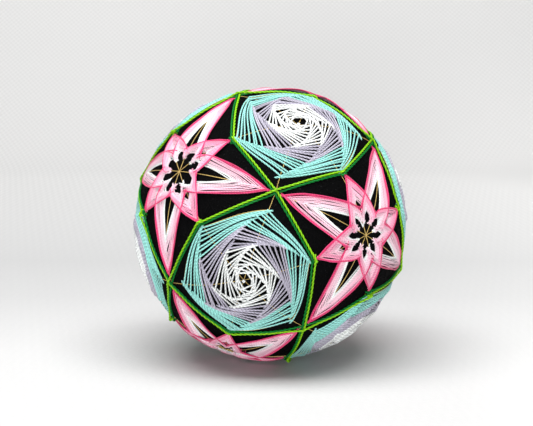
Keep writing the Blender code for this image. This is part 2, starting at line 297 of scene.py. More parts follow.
class TemariColours(bpy.types.PropertyGroup):
    """Colours of the threads"""

    ground: colour_setting("Ground", "Black winding", 8, 8, 9)
    gold: colour_setting("Gold", "Guide threads", 240, 204, 120)
    turquoise: colour_setting("Turquoise", "Outer band of a whirl", 156, 228, 219)
    lilac: colour_setting("Lilac", "Middle band of a whirl", 192, 187, 204)
    white: colour_setting("White", "Middle of a whirl, first rows of a petal", 248, 251, 250)
    blush: colour_setting("Blush", "Second rows of a petal", 251, 218, 230)
    pale_pink: colour_setting("Pale pink", "Third rows of a petal", 249, 196, 214)
    pink: colour_setting("Pink", "Fourth rows of a petal", 248, 160, 190)
    hot_pink: colour_setting("Hot pink", "Last row of a petal", 230, 58, 116)
    light_green: colour_setting("Light green", "Light outline row", 138, 206, 22)
    dark_green: colour_setting("Dark green", "Dark outline row", 0, 120, 42)


# The division of the ball, as in the frame

hand = random.Random(HAND_SEED)


def unit(direction):
    return Vector(direction).normalized()


def placed(direction, shift):
    """The unit direction of a pin, moved by its shift, or by a small unevenness of the hand."""
    if shift:
        move = Vector(shift) * MM
    else:
        move = Vector([hand.uniform(-HAND_WOBBLE, HAND_WOBBLE) for _ in range(3)])
    return (direction * CORE_RADIUS + move).normalized()


def toward(start, end, angle):
    """The direction reached by going an angle in degrees from start towards end."""
    side = (end - start * start.dot(end)).normalized()
    turn = math.radians(angle)
    return start * math.cos(turn) + side * math.sin(turn)


def angle_between(a, b):
    return math.degrees(a.angle(b))


def make_pins():
    """All pins of the division: lilies, whirls, crossings and bends, by grid direction."""
    pins = {}
    crossings = [grid for grid in product((1, 0, -1), repeat=3) if grid.count(0) == 1]
    for grid in (*LILY_CENTRES, *WHIRL_CENTRES, *crossings):
        pins[grid] = placed(unit(grid), PIN_SHIFTS.get(grid))
    for lily in LILY_CENTRES:
        for whirl in WHIRL_CENTRES:
            if Vector(lily).dot(Vector(whirl)) > 0:
                exact = toward(unit(lily), unit(whirl), BEND_ANGLE)
                pins[lily, whirl] = placed(exact, BEND_SHIFTS.get((lily, whirl)))
    return pins


PINS = make_pins()


def around(centre, first, directions):
    """Named directions in order about a centre, anticlockwise seen from outside, from first."""
    east = (first - centre * centre.dot(first)).normalized()
    north = centre.cross(east)

    def bearing(item):
        angle = math.atan2(item[1].dot(north), item[1].dot(east))
        # A bearing a hair below zero is the first one, not a whole turn
        return (angle + 0.001) % (2 * math.pi)

    return sorted(directions, key=bearing)


class Fan:
    """A flat map round a motif's centre, in metres, with rays to the pins round it."""

    def __init__(self, centre, targets):
        self.centre = centre
        self.east = (targets[0] - centre * centre.dot(targets[0])).normalized()
        self.north = centre.cross(self.east)
        self.lengths = [angle_between(centre, target) for target in targets]
        step = 2 * math.pi / len(targets)
        self.bearings = []
        for index, target in enumerate(targets):
            bearing = math.atan2(target.dot(self.north), target.dot(self.east))
            turns = round((index * step - bearing) / (2 * math.pi))
            self.bearings.append(bearing + turns * 2 * math.pi)

    def flat(self, ray, distance, aside=0.0):
        """The place a number of degrees out along a ray and aside from it, in metres."""
        bearing = self.bearings[ray % len(self.bearings)]
        out = np.array((math.cos(bearing), math.sin(bearing)))
        left = np.array((-out[1], out[0]))
        return (out * distance + left * aside) * DEGREE

    def directions(self, places):
        """Unit directions on the ball of places on the flat map."""
        lengths = np.linalg.norm(places, axis=1)
        angles = lengths / CORE_RADIUS
        safe = np.where(lengths > 0, lengths, 1.0)
        flat = places / safe[:, None]
        sides = flat[:, :1] * np.array(self.east) + flat[:, 1:] * np.array(self.north)
        return np.cos(angles)[:, None] * np.array(self.centre) + np.sin(angles)[:, None] * sides


# How threads lie

def distances(places):
    """How far along a line each of its places is."""
    return np.concatenate(([0.0], np.cumsum(np.linalg.norm(np.diff(places, axis=0), axis=1))))


def spaced(places, step):
    """Even places along a line of places, about a step apart, and their distances along it."""
    along = distances(places)
    count = max(2, int(round(along[-1] / step)) + 1)
    marks = np.linspace(0.0, along[-1], count)
    even = np.stack([np.interp(marks, along, places[:, k]) for k in range(places.shape[1])], 1)
    return even, marks


def smooth_line(points, count=28):
    """A smooth line through points."""
    points = np.asarray(points, float)
    ends = np.concatenate(([2 * points[0] - points[1]], points, [2 * points[-1] - points[-2]]))
    steps = count // (len(points) - 1) + 1
    line = []
    for index in range(len(points) - 1):
        a, b, c, d = ends[index : index + 4]
        for step in range(steps):
            t = step / steps
            near = 2 * b + (c - a) * t + (2 * a - 5 * b + 4 * c - d) * t * t
            line.append(0.5 * (near + (3 * b - 3 * c + d - a) * t**3))
    line.append(points[-1])
    return np.array(line)


def run_on(line, length):
    """A line with its two ends run on by a length."""
    for end, inner in ((0, 1), (-1, -2)):
        step = line[end] - line[inner]
        line[end] = line[end] + step / np.linalg.norm(step) * length
    return line


def pulled_taut(marks, heights):
    """Heights of a taut thread over its rests: it bends only round their tops."""
    fall = marks**2 / (2 * TENSION_RADIUS)
    low = heights - fall
    keep = []
    for index in range(len(marks)):
        while len(keep) > 1:
            a, b = keep[-2], keep[-1]
            rise = (low[b] - low[a]) * (marks[index] - marks[a])
            if rise > (low[index] - low[a]) * (marks[b] - marks[a]):
                break
            keep.pop()
        keep.append(index)
    return np.interp(marks, marks[keep], low[keep]) + fall


def settled(heights):
    """Heights in a soft pile, which packs closer the higher it is."""
    raised = PILE_HEIGHT * (1.0 - np.exp(-np.maximum(heights, 0.0) / PILE_HEIGHT))
    return np.where(heights > 0, raised, heights)


class Relief:
    """How high the threads stand so far, on a flat map round a motif's centre."""

    def __init__(self, reach):
        self.reach = reach
        count = int(2 * reach / RELIEF_STEP) + 3
        self.tops = np.zeros((count, count))

    def lay(self, places, radius):
        """Lays a thread along places on the map: returns even places and its heights there."""
        even, marks = spaced(places, FEEL_STEP)
        cells = np.rint((even + self.reach) / RELIEF_STEP).astype(int)
        cells = np.clip(cells, 1, len(self.tops) - 2)
        rests = self.tops[cells[:, 0], cells[:, 1]]
        for x, y in ((1, 0), (-1, 0), (0, 1), (0, -1)):
            rests = np.maximum(rests, self.tops[cells[:, 0] + x, cells[:, 1] + y])
        heights = pulled_taut(marks, rests + radius * SINK)
        wide = int(radius / RELIEF_STEP)
        for x in range(-wide, wide + 1):
            for y in range(-wide, wide + 1):
                left = radius**2 - (x * x + y * y) * RELIEF_STEP**2
                if left < 0:
                    continue
                near = np.clip(cells + (x, y), 0, len(self.tops) - 1)
                top = heights + math.sqrt(left) * SINK
                np.maximum.at(self.tops, (near[:, 0], near[:, 1]), top)
        return even, heights


def on_ball(directions, heights):
    """Points a height above the wound surface, pressed up where the ball stands."""
    points = (directions * (CORE_RADIUS + heights)[..., None]) @ BALL_TURN.T
    points[..., 2] += CENTRE_HEIGHT
    points[..., 2] = np.maximum(points[..., 2], np.maximum(FOOT_HEIGHT - heights, 0.0))
    return points


def diving(directions, heights, radius):
    """A laid thread with its two ends sent down into the ball."""
    for _ in range(2):
        directions, heights = directions[::-1], heights[::-1]
        step = directions[-1] - directions[-2]
        step = step / np.linalg.norm(step) * (DIVE_LENGTH / CORE_RADIUS)
        dive = directions[-1] + np.outer((0.6, 1.0), step)
        dive /= np.linalg.norm(dive, axis=1)[:, None]
        directions = np.concatenate((directions, dive))
        heights = np.concatenate((heights, (heights[-1] - 0.5 * radius, -DIVE_DEPTH)))
    return directions, heights


def stitched(fan, relief, line, radius, step):
    """A thread laid along a line on a map and stitched down, with one place in so many kept."""
    places, heights = relief.lay(line, radius)
    keep = np.linspace(0, len(places) - 1, max(4, len(places) // step)).astype(int)
    return diving(fan.directions(places[keep]), settled(heights[keep]), radius)


class Skein:
    """Threads gathered for one piece, joined into one mesh."""

    def __init__(self, seed):
        self.hand = np.random.default_rng(seed)
        self.points = []
        self.colours = []
        self.tones = []
        self.rings = []

    def thread(self, directions, heights, radius, colour, ply, lobed=False, closed=False):
        """Adds a thread along directions, at one or many heights. Ply: length of a ply's turn."""
        sides = ROW_SIDES if lobed else THREAD_SIDES
        heights = np.full(len(directions), heights)
        middle = directions * (CORE_RADIUS + heights)[:, None]
        if closed:
            ahead = np.roll(middle, -1, 0) - np.roll(middle, 1, 0)
        else:
            ahead = np.gradient(middle, axis=0)
        ahead /= np.linalg.norm(ahead, axis=1)[:, None]
        up = directions - ahead * np.sum(directions * ahead, 1)[:, None]
        up /= np.linalg.norm(up, axis=1)[:, None]
        side = np.cross(up, ahead)
        along = distances(middle)
        start = self.hand.uniform()
        turns = np.arange(sides) / sides + np.zeros((len(middle), 1))
        if lobed:
            turns = turns + (along / (2 * ply) + start / 2)[:, None]
            reach = radius * np.tile(PLY_REACH, sides // len(PLY_REACH))
        else:
            reach = np.full(sides, radius)
        angle = 2 * math.pi * turns
        out = np.cos(angle)[..., None] * side[:, None] + np.sin(angle)[..., None] * up[:, None]
        rings = middle[:, None] + out * reach[None, :, None]
        lengths = np.linalg.norm(rings, axis=2)
        outward = rings / lengths[..., None]
        self.points.append(on_ball(outward, lengths - CORE_RADIUS).reshape(-1, 3))
        self.rings.append((len(middle), sides, closed, along / ply + start, turns))
        count = len(middle) * sides
        self.colours.append(np.tile((*colour, 1.0), (count, 1)))
        self.tones.append(np.full(count, self.hand.uniform()))

    def piece(self, name, material):
        """The threads as one object: corners, faces, map, colours and tones from arrays."""
        corners, totals, places = [], [], []
        first = 0
        for count, sides, closed, along, turns in self.rings:
            index = first + np.arange(count * sides).reshape(count, sides)
            round_on = np.concatenate((turns, turns[:, :1] + 1.0), 1)
            last = count if closed else count - 1
            here, there = index[:last], np.roll(index, -1, 0)[:last]
            beside, past = np.roll(here, -1, 1), np.roll(there, -1, 1)
            corners.append(np.stack((here, beside, past, there), -1).reshape(-1))
            totals.append(np.full(last * sides, 4))
            step = along[1] - along[0]
            ends = np.concatenate((along, [along[-1] + step]))
            u = np.stack((ends[:last], ends[:last], ends[1 : last + 1], ends[1 : last + 1]), -1)
            turn_on = np.concatenate((round_on, round_on[:1]), 0)
            a, b = turn_on[:last], turn_on[1 : last + 1]
            v = np.stack((a[:, :-1], a[:, 1:], b[:, 1:], b[:, :-1]), -1)
            u = np.broadcast_to(u[:, None], v.shape)
            places.append(np.stack((u, v), -1).reshape(-1, 2))
            if not closed:
                for ring, ring_turns, at in (
                    (index[0][::-1], turns[0][::-1], along[0]),
                    (index[-1], turns[-1], along[-1]),
                ):
                    corners.append(ring)
                    totals.append(np.array([sides]))
                    places.append(np.stack((np.full(sides, at), ring_turns), -1))
            first += count * sides
        points = np.concatenate(self.points)
        corners = np.concatenate(corners)
        totals = np.concatenate(totals)
        mesh = bpy.data.meshes.new(name)
        mesh.vertices.add(len(points))
        mesh.vertices.foreach_set("co", points.reshape(-1).astype(np.float32))
        mesh.loops.add(len(corners))
        mesh.loops.foreach_set("vertex_index", corners.astype(np.int32))
        mesh.polygons.add(len(totals))
        starts = np.concatenate(([0], np.cumsum(totals)[:-1]))
        mesh.polygons.foreach_set("loop_start", starts.astype(np.int32))
        mesh.update(calc_edges=True)
        twist = mesh.uv_layers.new(name="twist")
        twist.uv.foreach_set("vector", np.concatenate(places).reshape(-1).astype(np.float32))
        dye = mesh.attributes.new("dye", "FLOAT_COLOR", "POINT")
        dye.data.foreach_set("color", np.concatenate(self.colours).reshape(-1).astype(np.float32))
        tone = mesh.attributes.new("tone", "FLOAT", "POINT")
        tone.data.foreach_set("value", np.concatenate(self.tones).astype(np.float32))
        mesh.shade_smooth()
        mesh.materials.append(material)
        if mesh.validate():
            raise RuntimeError(f"{name}: the joined mesh had faulty faces")
        return linked(name, mesh)


def smooth_mesh(name, bm, material):
    """The mesh of a finished bmesh, with its material."""
    mesh = bpy.data.meshes.new(name)
    bm.to_mesh(mesh)
    bm.free()
    mesh.shade_smooth()
    mesh.materials.append(material)
    return mesh


def linked(name, mesh):
    """A new object of a mesh, in the ball's collection."""
    collection = bpy.data.collections.get("temari_threads")
    if collection is None:
        collection = bpy.data.collections.new("temari_threads")
        bpy.context.scene.collection.children.link(collection)
    made = bpy.data.objects.new(name, mesh)
    collection.objects.link(made)
    return made


def dress(piece, slot, *nodes):
    """The piece rides on the ball and stands for its plain solids; the slot is not used."""
    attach(piece, "root")
    if nodes:
        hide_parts(*nodes)


# Shaders

class Signal:
    """A shader socket in an expression: each operator adds its Math node."""

    def __init__(self, finish, socket):
        self.finish = finish
        self.socket = socket

    def math(self, operation, *values):
        inputs = dict(enumerate((self, *values)))
        made = self.finish.node("ShaderNodeMath", {"operation": operation}, inputs)
        return Signal(self.finish, made.outputs[0])

    def __add__(self, other):
        return self.math("ADD", other)

    def __sub__(self, other):
        return self.math("SUBTRACT", other)

    def __rsub__(self, other):
        return (self * -1.0) + other

    def __mul__(self, other):
        return self.math("MULTIPLY", other)

    def __pow__(self, other):
        return self.math("POWER", other)

    __radd__ = __add__
    __rmul__ = __mul__

    def wave(self):
        """A wave from 0 to 1, one for each whole number, with its crest there."""
        return (self * (2 * math.pi)).math("COSINE") * 0.5 + 0.5

    def clamped(self):
        held = self.math("ADD", 0.0)
        held.socket.node.use_clamp = True
        return held

    def max(self, other):
        return self.math("MAXIMUM", other)


class Finish:
    """A material being made, with its nodes."""

    def __init__(self, name, roughness, constants=None):
        self.material = bpy.data.materials.new(name)
        self.material.use_nodes = True
        self.tree = self.material.node_tree
        self.shader = self.tree.nodes["Principled BSDF"]
        self.shader.inputs["Roughness"].default_value = roughness
        for socket, value in (constants or {}).items():
            self.shader.inputs[socket].default_value = value

    def node(self, kind, settings=None, inputs=None):
        """A node with its settings, then the values or links of its sockets."""
        made = self.tree.nodes.new(kind)
        for setting, value in (settings or {}).items():
            setattr(made, setting, value)
        for socket, value in (inputs or {}).items():
            if isinstance(value, Signal):
                self.tree.links.new(value.socket, made.inputs[socket])
            else:
                made.inputs[socket].default_value = value
        return made

    def signal(self, node, output=0):
        return Signal(self, node.outputs[output])

    def noise(self, place, scale, detail=2.0):
        inputs = {"Vector": place, "Scale": scale, "Detail": detail}
        return self.signal(self.node("ShaderNodeTexNoise", {}, inputs), "Fac")

    def mix(self, factor, first, second):
        """A colour between two, by a factor."""
        settings = {"data_type": "RGBA", "clamp_factor": True}
        inputs = {0: factor, 6: first, 7: second}
        return self.signal(self.node("ShaderNodeMix", settings, inputs), 2)

    def scaled(self, colour, factor):
        """A colour made lighter or darker by a factor."""
        inputs = {0: colour, "Scale": factor}
        return self.signal(self.node("ShaderNodeVectorMath", {"operation": "SCALE"}, inputs))

    def drive(self, socket, signal):
        self.tree.links.new(signal.socket, self.shader.inputs[socket])

    def bump(self, height, distance, strength=1.0):
        inputs = {"Height": height, "Distance": distance, "Strength": strength}
        self.drive("Normal", self.signal(self.node("ShaderNodeBump", {}, inputs), "Normal"))


def thread_finish(name, relief, painted_groove_shade, roughness, sheen, gloss=0.25, metal=0.0):
    """Twisted two-ply thread: its dye, the groove between its plies, darkened as painted shade,
    and its fine fibres.
    """
    found = bpy.data.materials.get(name)
    if found is not None:
        return found
    constants = {"Sheen Weight": sheen, "Specular IOR Level": gloss, "Metallic": metal}
    finish = Finish(name, roughness, constants)
    dye = finish.signal(finish.node("ShaderNodeAttribute", {"attribute_name": "dye"}), "Color")
    tone = finish.signal(finish.node("ShaderNodeAttribute", {"attribute_name": "tone"}), "Fac")
    place = finish.node("ShaderNodeUVMap", {"uv_map": "twist"})
    split = finish.node("ShaderNodeSeparateXYZ", {}, {0: finish.signal(place)})
    along, turn = finish.signal(split, 0), finish.signal(split, 1)
    ply = (turn * 2.0 - along).wave()
    crest = ply**0.5
    spin = finish.node("ShaderNodeCombineXYZ", {}, {0: along * 1.3, 1: (turn * 2.0 - along) * 7.0})
    fibre = finish.noise(finish.signal(spin), 1.0, 3.0)
    patch = finish.noise(finish.signal(finish.node("ShaderNodeTexCoord"), "Object"), 900.0, 2.0)
    # Painted shade: the dye is darker in the groove between the plies; tone, fibres and patches
    # vary it at random
    light = (crest * painted_groove_shade + (1.0 - painted_groove_shade)) * (tone * 0.16 + 0.92)
    light = light * (fibre * 0.3 + 0.85) * (patch * 0.16 + 0.92)
    finish.drive("Base Color", finish.scaled(dye, light))
    finish.drive("Roughness", (1.0 - crest) * 0.2 + fibre * 0.2 + (roughness - 0.1))
    finish.bump(crest + fibre * 0.35, relief)
    return finish.material


def ground_finish(black):
    """Fine black thread wound in every direction, with painted shade in the grooves between its
    strands, and a little lint.
    """
    finish = Finish("wound_black_thread", 0.8, {"Specular IOR Level": 0.03})
    coords = finish.signal(finish.node("ShaderNodeTexCoord"), "Object")
    inputs = {"Vector": coords, "Location": (0.0, 0.0, -CENTRE_HEIGHT)}
    place = finish.signal(finish.node("ShaderNodeMapping", {"vector_type": "POINT"}, inputs))
    top = None
    turn = random.Random(STRAND_SEED)
    for index in range(STRAND_WAYS):
        axis = Vector([turn.uniform(-1, 1) for _ in range(3)]).normalized()
        inputs = {0: place, 1: axis}
        dot = finish.node("ShaderNodeVectorMath", {"operation": "DOT_PRODUCT"}, inputs)
        dot = finish.signal(dot, "Value")
        wander = finish.noise(place, 60.0 + 9.0 * index, 1.0)
        strand = (dot * (1.0 / STRAND_WIDTH) + wander * 3.0).wave()
        near = dot.math("ABSOLUTE") * (-0.9 / CORE_RADIUS)
        layer = strand * 0.5 + wander * 2.2 + near
        top = layer if top is None else top.max(layer)
    lint = (finish.noise(place, 2600.0, 0.0) * 9.0 - 6.6).clamped()
    # Painted shade: between the tops of the strands the black is darker still
    ridge = (top - 0.9).clamped()
    painted_groove_shade = [value * 0.45 for value in black]
    strands = finish.mix(ridge, (*painted_groove_shade, 1.0), (*black, 1.0))
    pale = [min(1.0, value + 0.02) for value in black]
    finish.drive("Base Color", finish.mix(lint * 0.7, strands, (*pale, 1.0)))
    finish.bump(top, 0.16 * MM)
    return finish.material


# The pieces

def wound_ball(sizes, colours):
    """An even round core, pressed at its foot, and the last fine winding on it."""
    bm = bmesh.new()
    bmesh.ops.create_icosphere(bm, subdivisions=6, radius=1.0)
    for vert in bm.verts:
        direction = np.array(vert.co) @ BALL_TURN
        vert.co = on_ball(direction[None], np.zeros(1))[0]
    core = linked("wound_core", smooth_mesh("wound_core", bm, ground_finish(colours.ground)))
    dress(core, "black_thread", "core")

    winding = Skein(WINDING_SEEDS[0])
    turn = np.random.default_rng(WINDING_SEEDS[1])
    radius = sizes.ground_thread / 2
    angles = np.arange(GROUND_POINTS) * 2 * math.pi / GROUND_POINTS
    for _ in range(GROUND_STRANDS):
        axis = turn.normal(size=3)
        axis /= np.linalg.norm(axis)
        first = np.cross(axis, turn.normal(size=3))
        first /= np.linalg.norm(first)
        second = np.cross(axis, first)
        lift = turn.uniform(-0.1, 0.14) * np.sin(angles * turn.integers(1, 4) + turn.uniform(0, 6))
        line = np.cos(angles)[:, None] * first + np.sin(angles)[:, None] * second
        line = line + axis * lift[:, None]
        line /= np.linalg.norm(line, axis=1)[:, None]
        height = radius * turn.uniform(-0.2, 0.5)
        tint = np.array(colours.ground) * turn.uniform(0.3, 1.0)
        winding.thread(line, height, radius, tint, GROUND_PLY, closed=True)
    finish = thread_finish("fine_black_thread", 0.02 * MM, 0.2, 0.75, 0.0, gloss=0.05)
    dress(winding.piece("last_winding", finish), "black_thread")


def slack_line(here, there, slack):
    """Directions along a guide thread between two pins, a little off the straight line."""
    length = angle_between(here, there)
    side = here.cross(there).normalized()
    bow = slack.uniform(-1, 1) * GUIDE_WANDER / CORE_RADIUS
    ripple = slack.uniform(-0.4, 0.4) * GUIDE_WANDER / CORE_RADIUS
    line = []
    for step in range(GUIDE_STEPS + 1):
        share = step / GUIDE_STEPS
        off = bow * math.sin(math.pi * share) + ripple * math.sin(3 * math.pi * share)
        line.append((toward(here, there, length * share) + side * off).normalized())
    return np.array(line)


def guide_threads(sizes, colours):
    """Gold guide threads along the lines of the division and round the whirls, and the knots."""
    skein = Skein(GUIDE_SEEDS[0])
    slack = np.random.default_rng(GUIDE_SEEDS[1])
    radius = sizes.guide_thread / 2
    rest = radius * GUIDE_REST
    grids = [grid for grid in PINS if not isinstance(grid[0], tuple)]
    for start in grids:
        for end in grids:
            zeros = (start.count(0), end.count(0))
            if zeros not in GUIDE_CLOSE or unit(start).dot(unit(end)) < GUIDE_CLOSE[zeros]:
                continue
            directions = slack_line(PINS[start], PINS[end], slack)
            skein.thread(directions, rest, radius, colours.gold, FINE_PLY)
    for grid in WHIRL_CENTRES:
        fan, corners = whirl_corners(grid)
        for side in range(6):
            out = 1.0 + slack.uniform(0.0, GUIDE_OUT)
            line = bowed(corners[(side + 1) % 6] * out, corners[side] * out)
            skein.thread(fan.directions(line), rest, radius, colours.gold, FINE_PLY)
        turns = np.linspace(0, 2 * math.pi, KNOT_POINTS, endpoint=False)
        ring = np.stack((np.cos(turns), np.sin(turns)), 1) * KNOT_RADIUS
        directions = fan.directions(ring + slack.normal(size=2) * KNOT_SHIFT)
        skein.thread(directions, KNOT_HEIGHT, KNOT_THREAD, colours.white, FINE_PLY, closed=True)
    finish = thread_finish("twisted_gold_thread", 0.05 * MM, 0.7, 0.4, 0.0, gloss=0.5, metal=0.25)
    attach(skein.piece("guide_threads", finish), "root")


def bowed(start, end, bow=WHIRL_BOW):
    """A line between two places on a whirl's map, bowed outwards more the longer it is."""
    middle = (start + end) / 2
    out = middle / np.linalg.norm(middle) * np.sum((end - start) ** 2) * bow
    shares = np.linspace(0.0, 1.0, 13)[:, None]
    return start + (end - start) * shares + out * BOW_CREST * shares**BOW_LEAN * (1 - shares)


def whirl_corners(grid):
    """A whirl's flat map, and the six corners of its first row there."""
    centre = PINS[grid]
    targets = []
    for axis in range(3):
        crossing = tuple(0 if index == axis else grid[index] for index in range(3))
        lily = tuple(grid[index] if index == axis else 0 for index in range(3))
        targets.append((WHIRL_REACH_CROSSING, PINS[crossing]))
        targets.append((WHIRL_REACH_BEND, PINS[lily, grid]))
    targets = around(centre, targets[0][1], targets)
    fan = Fan(centre, [pin for _, pin in targets])
    return fan, [fan.flat(ray, fan.lengths[ray] * targets[ray][0]) for ray in range(6)]


def stitch_whirl(number, grid, sizes, colours):
    """A six-sided whirl: row after row of straight threads, each row's corners a step round."""
    fan, corners = whirl_corners(grid)
    skein = Skein(WHIRL_SEEDS[0] + number)
    uneven = np.random.default_rng(WHIRL_SEEDS[1] + number)
    relief = Relief(WHIRL_RELIEF)
    radius = sizes.whirl_thread / 2
    for colour, rows, step_along, step_in in WHIRL_BANDS:
        dye = np.array(getattr(colours, colour))
        for _ in range(rows):
            shifted = [corner + uneven.normal(size=2) * WHIRL_UNEVEN for corner in corners]
            for side in range(5, -1, -1):
                end, start = shifted[side], shifted[(side + 1) % 6]
                length = np.linalg.norm(end - start)
                ahead = (end - start) / length
                tail = min(uneven.uniform(*WHIRL_TAIL), WHIRL_TAIL_SHARE * length)
                bow = WHIRL_BOW * uneven.uniform(*WHIRL_BOW_UNEVEN)
                line = bowed(start - ahead * WHIRL_START, end + ahead * tail, bow)
                laid = stitched(fan, relief, line, radius, 3)
                tint = dye * uneven.uniform(*WHIRL_DYE_UNEVEN)
                skein.thread(*laid, radius, tint, WHIRL_PLY)
            moved = []
            for side in range(6):
                here, there = corners[side], corners[(side + 1) % 6]
                along = (there - here) / np.linalg.norm(there - here)
                inward = -here / np.linalg.norm(here)
                uneven_step = 1.0 + uneven.uniform(-1, 1) * WHIRL_STEP_UNEVEN
                moved.append(here + (along * step_along + inward * step_in) * uneven_step)
            corners = moved
    finish = thread_finish("twisted_whirl_thread", 0.16 * MM, 0.5, 0.5, 0.15)
    dress(skein.piece(f"whirl_threads_{number}", finish), "whirl_thread", f"whirl_{number}")


def petal_side(fan, ray, side, first, last, share, scale, opened):
    """One row on one side of a petal, from the neighbouring ray out to the tip on its own."""
    start = first[0] + (last[0] - first[0]) * share
    reach = 1.0 + opened * (1.0 - share)
    points = [fan.flat(ray + side, start * reach)]
    for (along_a, half_a), (along_b, half_b) in zip(first[1], last[1]):
        along = (along_a + (along_b - along_a) * share) * scale
        half = half_a + (half_b - half_a) * share
        points.append(fan.flat(ray, along, side * half) * reach)
        reach = 1.0
    tip = (first[2] + (last[2] - first[2]) * share) * scale
    points.append(fan.flat(ray, tip))
    return points


def lily_fan(grid):
    """A lily's flat map, with rays to crossings and to bends by turns."""
    first_axis, second_axis = (index for index in range(3) if grid[index] == 0)
    rays = []
    for first, second in LILY_RAYS:
        target = list(grid)
        target[first_axis] = first
        target[second_axis] = second
        target = tuple(target)
        rays.append((target, PINS[grid, target] if first and second else PINS[target]))
    rays = around(PINS[grid], rays[0][1], rays)
    return Fan(PINS[grid], [pin for _, pin in rays])


def stitch_lily(number, grid, sizes, colours):
    """A lily: rows of long and short petals by turns, from the heart's stitches to the tips."""
    fan = lily_fan(grid)
    skein = Skein(LILY_SEEDS[0] + number)
    uneven = np.random.default_rng(LILY_SEEDS[1] + number)
    relief = Relief(LILY_RELIEF)
    radius = sizes.lily_thread / 2
    gaps = {
        place: (uneven.integers(2, sizes.petal_rows - 1), uneven.uniform(0, PETAL_GAP))
        for place in PETAL_SIDES
    }
    opened = HEART_OPEN.get(grid, 0.0)
    for row in range(sizes.petal_rows):
        even_share = min(row / (sizes.petal_rows - 2 + LAST_STEP), 1.0)
        for first_ray, first, last, usual, order in (
            (0, LONG_FIRST, LONG_LAST, LONG_LENGTH, LONG_COLOURS),
            (1, SHORT_FIRST, SHORT_LAST, SHORT_LENGTH, SHORT_COLOURS),
        ):
            name = [colour for begin, colour in order if even_share >= begin][-1]
            for ray, side in PETAL_SIDES:
                if ray % 2 != first_ray:
                    continue
                scale = fan.lengths[ray] / usual
                after, gap = gaps[ray, side]
                share = even_share * (1 - gap) + (gap if row >= after else 0.0)
                points = petal_side(fan, ray, side, first, last, share, scale, opened)
                points = [point + uneven.normal(size=2) * PETAL_UNEVEN for point in points]
                points[0] += uneven.normal(size=2) * STITCH_UNEVEN
                line = run_on(smooth_line(points), PETAL_TAIL)
                laid = stitched(fan, relief, line, radius, 4)
                dye = np.array(getattr(colours, name)) * uneven.uniform(*PETAL_DYE_UNEVEN)
                skein.thread(*laid, radius, dye, PETAL_PLY)
    finish = thread_finish("twisted_lily_thread", 0.08 * MM, 0.3, 0.5, 0.15)
    dress(skein.piece(f"lily_threads_{number}", finish), "lily_thread", f"lily_{number}")


def loop_corners(axis):
    """The pins that an outline loop runs through: crossings and bends in turn, as (grid, pin)."""
    stops = []
    for grid, pin in PINS.items():
        if isinstance(grid[0], tuple):
            lily, whirl = grid
            sign = 1 if Vector(lily).dot(Vector(axis)) > 0 else -1
            beside = tuple(sign * axis[i] if lily[i] else -sign * axis[i] for i in range(3))
            on_loop = whirl == beside
        else:
            on_loop = grid.count(0) == 1 and Vector(grid).dot(Vector(axis)) == 0
        if on_loop:
            stops.append((grid, pin))
    return around(unit(axis), stops[0][1], stops)


def row_line(start, middle, end, sign, uneven):
    """Directions along a straight stretch of a row, from bend to bend beside the pins."""
    before, after = uneven.uniform(*ROW_TAIL, size=2) / CORE_RADIUS
    path = [toward(start, middle, -math.degrees(before))]
    for here, there in ((start, middle), (middle, end)):
        length = angle_between(here, there)
        path += [toward(here, there, length * step / 8) for step in range(8)]
    path += [end, toward(end, middle, -math.degrees(after))]
    side = (start.cross(middle) + middle.cross(end)).normalized()
    offset = sign * ROW_OFFSET / CORE_RADIUS
    shift = uneven.normal(size=2) * ROW_UNEVEN / CORE_RADIUS
    line = []
    for place, point in enumerate(path):
        share = place / (len(path) - 1)
        off = offset + shift[0] * math.sin(math.pi * share) + shift[1] * (share - 0.5)
        line.append((point + side * off).normalized())
    return np.array(line)


def row_rests(directions, radius, laid_points, laid_tops):
    """Heights at which the rows that are laid already hold up a new one."""
    if not len(laid_points):
        return np.zeros(len(directions))
    apart = np.sqrt(np.maximum(2 - 2 * directions @ laid_points.T, 0)) * CORE_RADIUS
    left = (ROW_TOUCH * radius) ** 2 - apart**2
    over = np.where(left > 0, laid_tops + np.sqrt(np.maximum(left, 0)), 0.0)
    return np.where(apart.min(1) < ROW_CLOSE * radius, over.max(1), 0.0)


def stitch_rows(sizes, colours):
    """The outline rows: straight twisted threads from bend to bend, dark ones first."""
    radius = sizes.outline_thread / 2
    uneven = np.random.default_rng(ROW_SEEDS[1])
    laid_points = np.zeros((0, 3))
    laid_tops = np.zeros(0)
    order = [("dark", -1, number) for number in (1, 2, 3, 4)]
    order += [("light", 1, number) for number in (4, 3, 2, 1)]
    for kind, sign, number in order:
        stops = loop_corners(LOOP_AXES[number - 1])
        # A stretch starts at a bend, and a bend has a pair of grid directions
        if not isinstance(stops[0][0][0], tuple):
            stops = stops[1:] + stops[:1]
        pins = [pin for _, pin in stops]
        skein = Skein(ROW_SEEDS[0] + 10 * number + sign)
        dye = np.array(getattr(colours, f"{kind}_green"))
        for index in range(0, len(pins), 2):
            end = pins[(index + 2) % len(pins)]
            line = row_line(pins[index], pins[index + 1], end, sign, uneven)
            directions, marks = spaced(line * CORE_RADIUS, ROW_STEP)
            directions /= np.linalg.norm(directions, axis=1)[:, None]
            rests = row_rests(directions, radius, laid_points, laid_tops)
            heights = pulled_taut(marks, np.maximum(rests, radius * ROW_REST))
            laid_points = np.concatenate((laid_points, directions))
            laid_tops = np.concatenate((laid_tops, heights))
            laid = diving(directions, heights, radius)
            skein.thread(*laid, radius, dye, ROW_PLY, lobed=True)
        finish = thread_finish("twisted_outline_thread", 0.08 * MM, 0.6, 0.42, 0.0, gloss=0.15)
        piece = skein.piece(f"{kind}_row_threads_{number}", finish)
        dress(piece, f"{kind}_green_thread", f"{kind}_row_{number}")


# The stage

